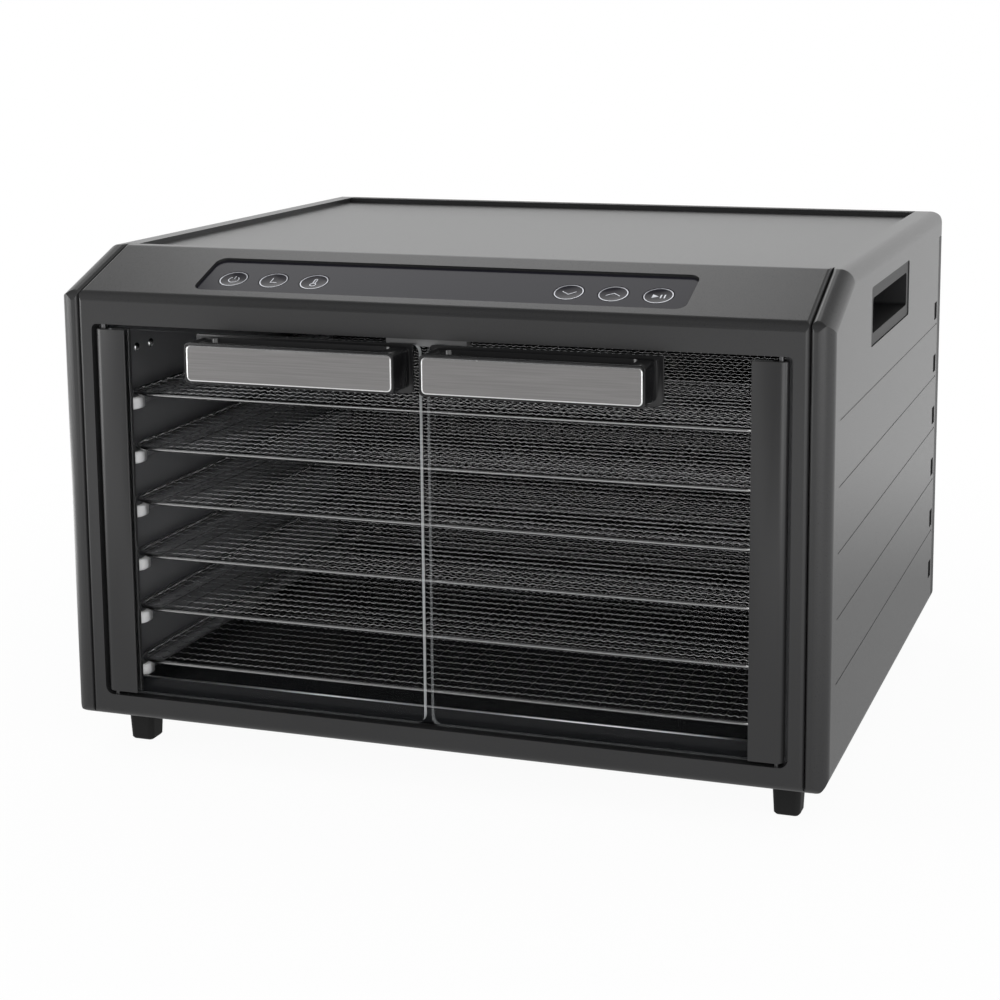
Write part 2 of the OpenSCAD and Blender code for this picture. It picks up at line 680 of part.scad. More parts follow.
module power_inlet() color([0.05, 0.05, 0.05]) seated() translate([inlet_x, 0, inlet_z]) {
    difference() {
        union() {
            slab([-inlet_w/2, cover_y - 12, -inlet_h/2], [inlet_w/2, body_d, inlet_h/2]);
            slab([-inlet_w/2 - 3, body_d, -inlet_h/2 - 3], [inlet_w/2 + 3, body_d + inlet_lip, inlet_h/2 + 3]);
        }
        slab([-inlet_w/2 + 2.6, body_d - 16, -inlet_h/2 + 2.6], [inlet_w/2 - 2.6, body_d + 3, inlet_h/2 - 2.6]);
    }
    for (p = [[-7, -1.5], [7, -1.5], [0, 2.5]])
        slab([p[0] - 1, body_d - 17, p[1] - 2], [p[0] + 1, body_d - 4, p[1] + 2]);
}

// ---- Side grips ----
module grip() {
    y0 = grip_front;
    y1 = grip_front + grip_l;
    x1 = body_w/2 - grip_sink;
    difference() {
        union() {
            along_x(body_w/2 - wall - 1, x1) soft_rect([y0 + fit, grip_z0 + fit], [y1 - fit, grip_z1 - fit], 2);
            along_x(body_w/2 - wall - 2, body_w/2 - wall)
                soft_rect([y0 - 3, grip_z0 - 3], [y1 + 3, grip_z1 + 3], 3);
            along_x(body_w/2 - wall - grip_depth, body_w/2 - wall)
                soft_rect([y0 + grip_band - grip_wall, grip_z0 + grip_band - grip_wall],
                    [y1 - grip_band + grip_wall, grip_z1 - grip_band + grip_wall], 4);
        }
        along_x(body_w/2 - wall - grip_depth + grip_wall, body_w)
            soft_rect([y0 + grip_band, grip_z0 + grip_band], [y1 - grip_band, grip_z1 - grip_band], 2.4);
    }
}
module left_grip() color([0.12, 0.12, 0.13]) seated() twin() grip();
module right_grip() color([0.12, 0.12, 0.13]) seated() grip();

// ---- Feet ----
module foot(sx, y) color([0.05, 0.05, 0.05]) seated()
    translate([sx*(body_w/2 - foot_in - foot_w/2), y + foot_w/2, 0]) hull() {
        along_z(foot_h - 0.5, foot_h) soft_rect([-foot_w/2, -foot_w/2], [foot_w/2, foot_w/2], 3);
        along_z(1, 1.5) soft_rect([1 - foot_w/2, 1 - foot_w/2], [foot_w/2 - 1, foot_w/2 - 1], 3);
        along_z(0, 0.5) soft_rect([2 - foot_w/2, 2 - foot_w/2], [foot_w/2 - 2, foot_w/2 - 2], 2);
    }
module front_left_foot() foot(-1, foot_front);
module front_right_foot() foot(1, foot_front);
module rear_left_foot() foot(-1, body_d - foot_front - foot_w);
module rear_right_foot() foot(1, body_d - foot_front - foot_w);

// ---- Doors, drawn for the right-hand side ----
module pane() difference() {
    along_y(pane_y0, pane_y0 + pane_t)
        soft_outline([[door_x0, door_z0], [door_x1 - stile_w + pane_grip, door_z0],
            [door_x1 - stile_w + pane_grip, door_z1], [door_x0, door_z1]], [pane_corner_r, 0, 0, pane_corner_r]);
    for (x = screw_x) translate([x, -5, screw_z]) rotate([-90, 0, 0]) cylinder(r = handle_screw_r, h = 20);
}

module stile() difference() {
    union() {
        slab([door_x1 - stile_w, stile_y0, door_z0], [pivot_x, stile_y0 + stile_t, door_z1]);
        translate([pivot_x, pivot_y, door_z0]) cylinder(d = stile_t, h = door_z1 - door_z0);
    }
    slab([door_x1 - stile_w - 1, pane_y0, door_z0 - 1],
        [door_x1 - stile_w + pane_grip, pane_y0 + pane_t, door_z1 + 1]);
    for (z = [door_z0 - 1, door_z1 - pin_in]) translate([pivot_x, pivot_y, z])
        cylinder(d = pin_d, h = pin_in + 1);
}

module hinge_pins() {
    shown = pin_out - 0.5 + door_gap_z;
    for (z = [floor_z - pin_out + 0.5, door_z1 - pin_in]) translate([pivot_x, pivot_y, z])
        cylinder(d = pin_d, h = shown + pin_in);
}

module handle() difference() {
    union() {
        along_y(handle_front, pane_y0) soft_rect([bar_x0, bar_z0], [bar_x1, bar_z1], 2.5);
        along_y(pane_y0 - flange_t, pane_y0)
            soft_outline([[bar_x0 - flange_in, bar_z0 - flange_low], [bar_x1 + flange_out, bar_z0 - flange_low],
                [bar_x1 + flange_out, bar_z1 + flange_top], [bar_x0 - flange_in, bar_z1 + flange_top]], [2, 5, 1, 1]);
    }
    along_z(trough_z, door_z1 + 1)
        soft_rect([bar_x0 + trough_end, trough_y0], [bar_x1 - trough_end, trough_y1], 4);
    along_y(handle_front - 1, handle_front + plate_t)
        soft_rect([bar_x0 + plate_m, bar_z0 + plate_m], [bar_x1 - plate_m, bar_z1 - plate_m], 1.8);
    for (x = screw_x) translate([x, pane_y0 - handle_screw_l, screw_z]) rotate([-90, 0, 0])
        cylinder(r = handle_screw_r, h = handle_screw_l + 1);
}

module handle_plate() along_y(handle_front - plate_proud, handle_front + plate_t)
    soft_rect([bar_x0 + plate_m, bar_z0 + plate_m], [bar_x1 - plate_m, bar_z1 - plate_m], 1.8);

module handle_screws() for (x = screw_x) translate([x, pane_y0 + pane_t, screw_z]) rotate([90, 0, 0])
    pan_screw(handle_screw_r, pane_t + handle_screw_l);

module strike() slab([door_x0 + 3, pane_y0 + pane_t, door_z1 - 4],
    [door_x0 + 18, pane_y0 + pane_t + 0.8, door_z1 - 0.4]);

module left_door_pane() color([0.75, 0.78, 0.80, 0.35]) seated() twin() pane();
module left_door_stile() color([0.24, 0.24, 0.25]) seated() twin() stile();
module left_hinge_pins() color([0.7, 0.7, 0.7]) seated() twin() hinge_pins();
module left_handle() color([0.07, 0.07, 0.07]) seated() twin() handle();
module left_handle_plate() color([0.62, 0.60, 0.58]) seated() twin() handle_plate();
module left_handle_screws() color([0.5, 0.5, 0.52]) seated() twin() handle_screws();
module left_strike() color([0.6, 0.6, 0.6]) seated() twin() strike();
module right_door_pane() color([0.75, 0.78, 0.80, 0.35]) seated() pane();
module right_door_stile() color([0.24, 0.24, 0.25]) seated() stile();
module right_hinge_pins() color([0.7, 0.7, 0.7]) seated() hinge_pins();
module right_handle() color([0.07, 0.07, 0.07]) seated() handle();
module right_handle_plate() color([0.62, 0.60, 0.58]) seated() handle_plate();
module right_handle_screws() color([0.5, 0.5, 0.52]) seated() handle_screws();
module right_strike() color([0.6, 0.6, 0.6]) seated() strike();

// ---- Trays ----
// Closed frame of round rod with swept corners, lying on its rails
module rod_frame() {
    r = rod_d/2;
    cx = tray_w/2 - tray_r;
    y0 = tray_y + tray_r;
    y1 = tray_y + tray_d - tray_r;
    for (s = [-1, 1]) translate([s*(tray_w/2 - r), y0, 0]) rotate([-90, 0, 0]) cylinder(r = r, h = y1 - y0);
    for (y = [tray_y + r, tray_y + tray_d - r]) translate([-cx, y, 0]) rotate([0, 90, 0]) cylinder(r = r, h = 2*cx);
    for (q = [[cx, y1, 0], [-cx, y1, 90], [-cx, y0, 180], [cx, y0, 270]])
        translate([q[0], q[1], 0]) rotate(q[2]) rotate_extrude(angle = 90) translate([tray_r - r, 0]) circle(r);
}

// How far the frame's inner side is drawn in at a distance t from its straight side
function corner_in(t) = t >= tray_r ? 0 : tray_r - sqrt(tray_r*tray_r - (tray_r - t)*(tray_r - t));

module wires() {
    nx = floor((tray_w - 2*mesh_x)/mesh_x/2);
    ny = floor((tray_d - 2*mesh_y)/mesh_y/2);
    bury = rod_d/2;
    lift = wire_d/2 + 0.02;
    mid = tray_y + tray_d/2;
    for (i = [-nx:nx]) {
        in = corner_in(tray_w/2 - abs(i*mesh_x)) + bury;
        translate([i*mesh_x, tray_y + in, -lift]) rotate([-90, 0, 0])
            cylinder(d = wire_d, h = tray_d - 2*in, $fn = 16);
    }
    for (j = [-ny:ny]) {
        in = corner_in(tray_d/2 - abs(j*mesh_y)) + bury;
        translate([-tray_w/2 + in, mid + j*mesh_y, lift]) rotate([0, 90, 0])
            cylinder(d = wire_d, h = tray_w - 2*in, $fn = 16);
    }
}

module tray(i) color([0.75, 0.75, 0.77]) seated() translate([0, 0, rail_z(i - 1) + rest_gap + rod_d/2]) {
    rod_frame();
    wires();
}
module tray_1() tray(1);
module tray_2() tray(2);
module tray_3() tray(3);
module tray_4() tray(4);
module tray_5() tray(5);
module tray_6() tray(6);

module crumb_tray() color([0.30, 0.30, 0.31]) seated() translate([0, 0, floor_z + rest_gap]) {
    hx = chamber_x - 2.5;
    difference() {
        slab([-hx, crumb_y, 0], [hx, tray_y + tray_d, crumb_h]);
        slab([-hx + sheet, crumb_y + sheet, sheet], [hx - sheet, tray_y + tray_d - sheet, crumb_h + 1]);
    }
    translate([-hx, crumb_y + sheet, crumb_h]) rotate([0, 90, 0]) cylinder(r = sheet, h = 2*hx);
}

module power_button() button(0);
module timer_button() button(1);
module heat_button() button(2);
module down_button() button(3);
module up_button() button(4);
module start_button() button(5);

left_side_shell();
right_side_shell();
front_bezel();
top_panel();
base_pan();
rear_cover();
left_liner();
right_liner();
liner_ceiling();
liner_floor();
rear_baffle();
fan_housing();
temperature_sensor();
fan_motor();
fan_wheel();
heater_element();
heater_clips();
control_overlay();
control_board();
power_board();
door_catch();
power_inlet();
left_grip();
right_grip();
front_left_foot();
front_right_foot();
rear_left_foot();
rear_right_foot();
rear_cover_screws();
base_screws();
left_door_pane();
left_door_stile();
left_hinge_pins();
left_handle();
left_handle_plate();
left_handle_screws();
left_strike();
right_door_pane();
right_door_stile();
right_hinge_pins();
right_handle();
right_handle_plate();
right_handle_screws();
right_strike();
tray_1();
tray_2();
tray_3();
tray_4();
tray_5();
tray_6();
crumb_tray();
power_button();
timer_button();
heat_button();
down_button();
up_button();
start_button();
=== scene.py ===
"""Studio model of a cabinet food dehydrator: two clear doors, six wire trays, a sloped fascia."""

import math

import bmesh
import bpy
from mathutils import Matrix, Vector


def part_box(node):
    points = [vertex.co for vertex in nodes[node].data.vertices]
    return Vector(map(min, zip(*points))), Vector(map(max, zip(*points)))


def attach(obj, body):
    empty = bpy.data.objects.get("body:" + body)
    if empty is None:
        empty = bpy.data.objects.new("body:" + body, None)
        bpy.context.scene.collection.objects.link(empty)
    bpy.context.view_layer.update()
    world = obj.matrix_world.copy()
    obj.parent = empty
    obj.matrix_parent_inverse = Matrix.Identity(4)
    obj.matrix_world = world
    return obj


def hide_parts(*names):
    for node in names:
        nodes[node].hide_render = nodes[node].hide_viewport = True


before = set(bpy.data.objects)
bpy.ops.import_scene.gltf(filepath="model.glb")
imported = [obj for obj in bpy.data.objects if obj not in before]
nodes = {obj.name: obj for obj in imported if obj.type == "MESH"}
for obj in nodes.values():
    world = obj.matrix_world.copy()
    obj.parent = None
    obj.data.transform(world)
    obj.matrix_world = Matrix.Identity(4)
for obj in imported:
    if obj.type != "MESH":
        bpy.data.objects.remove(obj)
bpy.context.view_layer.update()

# ---------------------------------------------------------------- cabinet mouldings
# Side shells, front bezel, top panel and rear cover are injection moulded in dark grey plastic
# with a fine spark-eroded texture. They clip and screw together along open seams, and the grip
# pockets are black mouldings pushed in from outside.


def feed(tree, node, sockets):
    """Fills a node's sockets, each with a plain value or with another node's output."""
    for name, value in sockets.items():
        if isinstance(value, bpy.types.NodeSocket):
            tree.links.new(value, node.inputs[name])
        else:
            node.inputs[name].default_value = value


def add_node(tree, kind, sockets):
    """Adds a shader node and fills its sockets."""
    node = tree.nodes.new(kind)
    feed(tree, node, sockets)
    return node


def new_material(name):
    """An empty node material: itself, its tree, its shader and its coordinates node."""
    mat = bpy.data.materials.new(name)
    mat.use_nodes = True
    tree = mat.node_tree
    place = tree.nodes.new("ShaderNodeTexCoord")
    return mat, tree, tree.nodes["Principled BSDF"], place


def noise(tree, place, scale, detail=2):
    """Soft noise over a place, from 0 to 1."""
    sockets = {"Vector": place, "Scale": scale, "Detail": detail}
    return add_node(tree, "ShaderNodeTexNoise", sockets).outputs["Fac"]


def two_tones(tree, value, colour, spread, low, high):
    """A colour made a little darker where a value is low and a little lighter where it's high."""
    ramp = add_node(tree, "ShaderNodeValToRGB", {"Fac": value})
    first, last = ramp.color_ramp.elements
    first.position = low
    first.color = [c * (1 - spread) for c in colour] + [1]
    last.position = high
    last.color = [c * (1 + spread) for c in colour] + [1]
    return ramp.outputs["Color"]


def span(tree, value, to_min, to_max, from_min=0, from_max=1):
    """Maps a value from one range to another, and holds it at the ends."""
    sockets = {"Value": value, "From Min": from_min, "From Max": from_max,
               "To Min": to_min, "To Max": to_max}
    return add_node(tree, "ShaderNodeMapRange", sockets).outputs["Result"]


def bump(tree, height, strength, distance):
    """Roughens the surface by a height."""
    sockets = {"Height": height, "Strength": strength, "Distance": distance}
    return add_node(tree, "ShaderNodeBump", sockets).outputs["Normal"]


def moulded_plastic(name, colour, rough, grain, depth, shade=0.12, gloss=0.5):
    """Moulded plastic: slow shifts of tone, a fine eroded texture and worn-smooth roughness."""
    mat, tree, shader, place = new_material(name)
    tone = noise(tree, place.outputs["Object"], scale=9, detail=3)
    speck = noise(tree, place.outputs["Object"], scale=grain)
    feed(tree, shader, {
        "Base Color": two_tones(tree, tone, colour, shade, low=0.3, high=0.7),
        "Roughness": span(tree, speck, rough - 0.05, rough + 0.05),
        "Normal": bump(tree, speck, strength=depth, distance=0.0002),
        "Specular IOR Level": gloss,
    })
    return mat


def dress(material, *names):
    """Gives CAD nodes a finish of this script's own."""
    for name in names:
        nodes[name].data.materials.clear()
        nodes[name].data.materials.append(material)


shell_grey = moulded_plastic("shell_grey", (0.020, 0.020, 0.0205), rough=0.29, grain=2600,
                             depth=0.2, shade=0.08)
cover_grey = moulded_plastic("cover_grey", (0.014, 0.014, 0.0145), rough=0.48, grain=2000,
                             depth=0.3, shade=0.1, gloss=0.35)
base_grey = moulded_plastic("base_grey", (0.016, 0.016, 0.017), rough=0.55, grain=1800, depth=0.3)
grip_black = moulded_plastic("grip_black", (0.007, 0.007, 0.0075), rough=0.5, grain=2200,
                             depth=0.3, shade=0.1, gloss=0.3)
dress(shell_grey, "left_side_shell", "right_side_shell", "front_bezel", "top_panel")
dress(cover_grey, "rear_cover")
dress(base_grey, "base_pan")
dress(grip_black, "left_grip", "right_grip")

# ---------------------------------------------------------------- drying chamber
# Two moulded side liners carry six rails each, between a plain floor and ceiling. A pale block is
# set over the front of every rail as a painted highlight, and two small screws hold each liner at
# the top.

liner_grey = moulded_plastic("liner_grey", (0.115, 0.116, 0.121), rough=0.42, grain=1500,
                             depth=0.15, shade=0.08)
baffle_black = moulded_plastic("baffle_black", (0.006, 0.006, 0.0065), rough=0.85, grain=1500,
                               depth=0.2, shade=0.1, gloss=0.05)
dress(liner_grey, "left_liner", "right_liner")
dress(baffle_black, "liner_ceiling", "liner_floor", "rear_baffle")


def piece(name, mesh, body, *materials):
    """Puts a finished mesh in the scene as a piece that rides on a body."""
    made = bpy.data.objects.new(name, mesh)
    bpy.context.scene.collection.objects.link(made)
    for material in materials:
        mesh.materials.append(material)
    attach(made, body)
    return made


def finished(name, bm, smooth=True):
    """Closes a bmesh as a named mesh."""
    mesh = bpy.data.meshes.new(name)
    bm.to_mesh(mesh)
    bm.free()
    if smooth:
        mesh.shade_smooth()
    return mesh


def plain_metal(name, colour, rough, streak=0.06, stretch=(1, 1, 1), fine=700):
    """Bare metal: a directional streak in tone and roughness, with a shallow matching bump."""
    mat, tree, shader, place = new_material(name)
    sockets = {"Vector": place.outputs["Object"], "Scale": stretch}
    stretched = add_node(tree, "ShaderNodeMapping", sockets)
    lines = noise(tree, stretched.outputs["Vector"], scale=fine, detail=4)
    feed(tree, shader, {
        "Metallic": 1,
        "Base Color": two_tones(tree, lines, colour, streak, low=0.35, high=0.65),
        "Roughness": span(tree, lines, rough - 0.06, rough + 0.06),
        "Normal": bump(tree, lines, strength=0.15, distance=0.0001),
    })
    return mat


TRAYS = 6
FRONT_Y = -0.17615  # the bezel's face
RAIL_PITCH = 0.0307
RAIL_LOW = 0.0510
RAIL_FRONT = -0.16445
RAIL_SIDE = 0.1770
LINER_SIDE = 0.1900

CAP_SIZE = (0.0115, 0.0110, 0.0068)
CAP_NOSE = 0.0062
CAP_EASE = 0.0014
CAP_SHIFT = (0.0045, 0.0042, -0.0041)  # from the corner of a rail's front end
AT_ORIGIN = 0.02  # a cap is shaped at the origin, and the finished ones lie farther out

SCREW_RADIUS = 0.0029
SCREW_FLAT = 0.6
SCREW_SUNK = 0.0002
SCREW_BACK = (0.0387, 0.0547)
SCREW_UP = 0.2278


def rail_cap(bm, side, top):
    """A block with a rounded nose, sunk over the front end of one rail."""
    made = bmesh.ops.create_cube(bm, size=1)["verts"]
    bmesh.ops.scale(bm, verts=made, vec=CAP_SIZE)
    block = {e for v in made for e in v.link_edges}
    nose = [e for e in block if abs((e.verts[0].co - e.verts[1].co).z) > CAP_SIZE[2] / 2
            and e.verts[0].co.y < 0 and e.verts[0].co.x * side < 0]
    bmesh.ops.bevel(bm, geom=nose, offset=CAP_NOSE, segments=6, affect="EDGES", profile=0.5,
                    material=-1)
    faces = [f for f in bm.faces if abs(f.calc_center_median().x) < AT_ORIGIN]
    rim = {e for f in faces if abs(f.normal.z) > 0.9 for e in f.edges}
    bmesh.ops.bevel(bm, geom=list(rim), offset=CAP_EASE, segments=3, affect="EDGES", profile=0.5,
                    material=-1)
    made = [v for v in bm.verts if abs(v.co.x) < AT_ORIGIN]
    across, back, up = CAP_SHIFT
    bmesh.ops.translate(bm, verts=made,
                        vec=(side * (RAIL_SIDE + across), RAIL_FRONT + back, top + up))


# The caps' pale colour is a painted highlight: it stands in for the shine on the rails' front ends.
pale_highlight_cap = moulded_plastic("pale_highlight_cap", (0.82, 0.82, 0.82), rough=0.3, grain=900, depth=0.05,
                            shade=0.04)
liner_screw = plain_metal("liner_screw", (0.85, 0.85, 0.85), rough=0.22)
for side, name in ((-1, "left"), (1, "right")):
    bm = bmesh.new()
    for level in range(TRAYS):
        rail_cap(bm, side, RAIL_LOW + RAIL_PITCH * level)
    bmesh.ops.recalc_face_normals(bm, faces=bm.faces[:])
    piece(f"{name}_rail_highlight_caps", finished(f"{name}_rail_highlight_caps", bm), "cabinet", pale_highlight_cap)
    bm = bmesh.new()
    for back in SCREW_BACK:
        head = bmesh.ops.create_uvsphere(bm, u_segments=16, v_segments=8,
                                         radius=SCREW_RADIUS)["verts"]
        bmesh.ops.scale(bm, verts=head, vec=(SCREW_FLAT, 1, 1))
        bmesh.ops.translate(bm, verts=head,
                            vec=(side * (LINER_SIDE - SCREW_SUNK), FRONT_Y + back, SCREW_UP))
    piece(f"{name}_liner_screws", finished(f"{name}_liner_screws", bm), "cabinet", liner_screw)

# ---------------------------------------------------------------- crumb tray
# A thin gloss black pan slides on the chamber's floor, under the lowest tray. Its front edge is
# rolled over into a bead that shows as a fine bright line.

LIP_RADIUS = 0.0006

crumb_black = moulded_plastic("crumb_black", (0.008, 0.0085, 0.0095), rough=0.2, grain=700,
                              depth=0.0, shade=0.05, gloss=0.2)
dress(crumb_black, "crumb_tray")
lip_steel = plain_metal("lip_steel", (0.55, 0.55, 0.56), rough=0.3)
low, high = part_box("crumb_tray")
bm = bmesh.new()
bmesh.ops.create_cone(bm, cap_ends=True, segments=16, radius1=LIP_RADIUS, radius2=LIP_RADIUS,
                      depth=high.x - low.x)
bmesh.ops.rotate(bm, verts=bm.verts[:], matrix=Matrix.Rotation(math.pi / 2, 3, "Y"))
bmesh.ops.translate(bm, verts=bm.verts[:], vec=(0, low.y + LIP_RADIUS, high.z - LIP_RADIUS))
piece("crumb_tray_lip", finished("crumb_tray_lip", bm), "crumb_tray", lip_steel)

# ---------------------------------------------------------------- fan and heater
# Behind the slotted baffle sit a pressed steel housing, a motor with its wheel, and a tubular
# heater held by three clips. The sensor's probe looks through the baffle.

pressed_sheet = plain_metal("pressed_sheet", (0.06, 0.06, 0.062), rough=0.48)
motor_steel = plain_metal("motor_steel", (0.08, 0.08, 0.082), rough=0.5)
heater_tube = plain_metal("heater_tube", (0.06, 0.056, 0.052), rough=0.55, streak=0.2)
screw_steel = plain_metal("screw_steel", (0.36, 0.36, 0.37), rough=0.35)
dress(pressed_sheet, "fan_housing", "fan_wheel", "heater_clips")
dress(motor_steel, "fan_motor")
dress(heater_tube, "heater_element")
dress(screw_steel, "temperature_sensor", "rear_cover_screws", "base_screws")

# ---------------------------------------------------------------- dust net and painted shade
# A black sheet behind the round grille of the rear cover stands for a dust net, and is there mostly
# as painted shade, keeping the light from behind out of the chamber. Its weave is too fine to
# model, so the sheet lets a little light through.

NET_RADIUS = 0.090
NET_THICK = 0.0008
NET_BACK = 0.19365
FAN_HEIGHT = 0.1411

net_and_shade_black = moulded_plastic("dust_net_and_shade_sheet", (0.008, 0.008, 0.008), rough=0.6, grain=900, depth=0.2,
                            shade=0.2, gloss=0.2)
tree = net_and_shade_black.node_tree
weave = noise(tree, tree.nodes["Texture Coordinate"].outputs["Object"], scale=1500)
feed(tree, tree.nodes["Principled BSDF"], {"Alpha": span(tree, weave, 0.93, 0.99)})
bm = bmesh.new()
bmesh.ops.create_cone(bm, cap_ends=True, segments=64, radius1=NET_RADIUS, radius2=NET_RADIUS,
                      depth=NET_THICK)
bmesh.ops.rotate(bm, verts=bm.verts[:], matrix=Matrix.Rotation(math.pi / 2, 3, "X"))
bmesh.ops.translate(bm, verts=bm.verts[:], vec=(0, NET_BACK, FAN_HEIGHT))
piece("dust_net_and_shade_sheet", finished("dust_net_and_shade_sheet", bm, False), "cabinet", net_and_shade_black)

# ---------------------------------------------------------------- wire trays
# Each tray is a closed loop of round rod with a mesh welded inside it. The bright wires that run
# across are pressed into a fine wave, and lie on thin straight ones that run front to back,
# coloured near black as painted shade.

WIRE = 0.00062
WAVE = 0.0004
CRIMP = 0.0044
WIRE_LIFT = 0.00032
CROSS_STEP = 0.0098
LONG_RADIUS = WIRE * 0.3
LONG_DROP = 0.0006
LONG_STEP = 0.0112
ROD_CORNER = 0.016
ROD_SIDES = 12
WIRE_SIDES = 6


def split_geom(geom):
    """Sorts what an operator made into vertices and edges."""
    return ([g for g in geom if isinstance(g, bmesh.types.BMVert)],
            [g for g in geom if isinstance(g, bmesh.types.BMEdge)])


def crimped_wire(length):
    """One run of waved wire along +X from the origin, as its own mesh."""
    bm = bmesh.new()
    ring = bmesh.ops.create_circle(bm, segments=WIRE_SIDES, radius=WIRE / 2)["verts"]
    bmesh.ops.rotate(bm, verts=ring, matrix=Matrix.Rotation(math.pi / 2, 3, "Y"))
    edges = bm.edges[:]
    rise = [WAVE, -WAVE, -WAVE, WAVE]
    for i in range(int(4 * length / CRIMP)):
        ring, edges = split_geom(bmesh.ops.extrude_edge_only(bm, edges=edges)["geom"])
        bmesh.ops.translate(bm, verts=ring, vec=(CRIMP / 4, 0, rise[i % 4]))
    return finished("crimped_wire", bm)


def lay_wire(bm, wire, matrix, length):
    """Adds a wire to the tray, turned and moved by matrix and cut off at its length."""
    before = set(bm.verts)
    bm.from_mesh(wire)
    geom = [v for v in bm.verts if v not in before]
    geom += [e for e in bm.edges if e.verts[0] not in before]
    geom += [f for f in bm.faces if f.verts[0] not in before]
    cut = bmesh.ops.bisect_plane(bm, geom=geom, plane_co=(length, 0, 0), plane_no=(1, 0, 0),
                                 clear_outer=True)
    left = {v for v in geom if isinstance(v, bmesh.types.BMVert) and v.is_valid}
    left |= {v for v in cut["geom_cut"] if isinstance(v, bmesh.types.BMVert)}
    bmesh.ops.transform(bm, matrix=matrix, verts=list(left))


def rod_loop(bm, half_x, half_y, corner, radius):
    """A closed loop of round rod with swept corners, lying flat round the origin."""
    ring = bmesh.ops.create_circle(bm, segments=ROD_SIDES, radius=radius)["verts"]
    bmesh.ops.rotate(bm, verts=ring, matrix=Matrix.Rotation(math.pi / 2, 3, "Y"))
    bmesh.ops.translate(bm, verts=ring, vec=(0, -half_y, 0))
    edges = bm.edges[:]
    for i in range(4):
        angle = i * math.pi / 2
        along = Vector((math.cos(angle), math.sin(angle), 0))
        run = (half_x, half_y)[i % 2] - corner
        ring, edges = split_geom(bmesh.ops.extrude_edge_only(bm, edges=edges)["geom"])
        bmesh.ops.translate(bm, verts=ring, vec=along * (run if i == 0 else 2 * run))
        inward = Vector((-along.y, along.x, 0)) * corner
        centre = sum((v.co for v in ring), Vector()) / len(ring) + inward
        swept = bmesh.ops.spin(bm, geom=ring + edges, cent=centre, axis=(0, 0, 1),
                               angle=math.pi / 2, steps=8)
        ring, edges = split_geom(swept["geom_last"])
    ring, edges = split_geom(bmesh.ops.extrude_edge_only(bm, edges=edges)["geom"])
    bmesh.ops.translate(bm, verts=ring, vec=(half_x - corner, 0, 0))
    bmesh.ops.remove_doubles(bm, verts=bm.verts[:], dist=1e-6)


def tray_mesh(width, depth, rod):
    """The whole tray round the origin: rod loop, waved wires across and straight ones under."""
    half_x, half_y = width / 2 - rod, depth / 2 - rod
    corner = ROD_CORNER - rod
    bm = bmesh.new()
    rod_loop(bm, half_x, half_y, corner, rod)
    for face in bm.faces:
        face.material_index = 2
    wire = crimped_wire(width)

    def drawn_in(t):
        """How far the loop's corner takes a wire back, t from the loop's edge."""
        return 0 if t >= corner else corner - math.sqrt(corner * corner - (corner - t) ** 2)

    count = int(half_y / CROSS_STEP)
    for i in range(-count, count + 1):
        y = i * CROSS_STEP
        reach = half_x - drawn_in(half_y - abs(y))
        lay_wire(bm, wire, Matrix.Translation((-reach, y, WIRE_LIFT)), 2 * reach)
    count = int(half_x / LONG_STEP)
    for i in range(-count, count + 1):
        x = i * LONG_STEP
        reach = half_y - drawn_in(half_x - abs(x))
        bar = bmesh.ops.create_cone(bm, segments=WIRE_SIDES, radius1=LONG_RADIUS,
                                    radius2=LONG_RADIUS, depth=2 * reach)["verts"]
        bmesh.ops.rotate(bm, verts=bar, matrix=Matrix.Rotation(math.pi / 2, 3, "X"))
        bmesh.ops.translate(bm, verts=bar, vec=(x, 0, -LONG_DROP))
        for face in {f for v in bar for f in v.link_faces}:
            face.material_index = 1
    bmesh.ops.recalc_face_normals(bm, faces=bm.faces[:])
    return finished("tray_mesh", bm)


plated_wire = plain_metal("plated_wire", (0.86, 0.86, 0.87), rough=0.16, streak=0.04, fine=300)
# The wires underneath are coloured near black, a painted shade, so they hardly show under the waved
# ones.
under_wire_painted_shade = moulded_plastic("under_wire_painted_shade", (0.008, 0.008, 0.008), rough=0.8, grain=900, depth=0.0,
                             shade=0.05, gloss=0.05)
rod_steel = plain_metal("rod_steel", (0.46, 0.46, 0.462), rough=0.2, streak=0.04, fine=300)
low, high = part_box("tray_1")
woven = tray_mesh(high.x - low.x, high.y - low.y, (high.z - low.z) / 2)
for level in range(1, TRAYS + 1):
    low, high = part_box(f"tray_{level}")
    mesh = woven.copy()
    mesh.transform(Matrix.Translation((low + high) / 2))
    tray = piece(f"wire_tray_{level}", mesh, f"tray_{level}", plated_wire, under_wire_painted_shade, rod_steel)
    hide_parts(f"tray_{level}")

# ---------------------------------------------------------------- doors
# Each door is a clear sheet let into a black hinge stile that turns on steel pins. Light passes
# the sheet unbent, its faces mirror a little, and its sawn and polished edges look pale. Magnets
# pull both sheets to the catch at the top.


def calc(tree, operation, *values):
    """A sum on plain values or other nodes' outputs."""
    node = tree.nodes.new("ShaderNodeMath")
    node.operation = operation
    feed(tree, node, dict(enumerate(values)))
    return node.outputs[0]


def mix_values(tree, share, first, second):
    """The first value where the share is 0 and the second where it is 1."""
    return add_node(tree, "ShaderNodeMix", {0: share, 2: first, 3: second}).outputs[0]


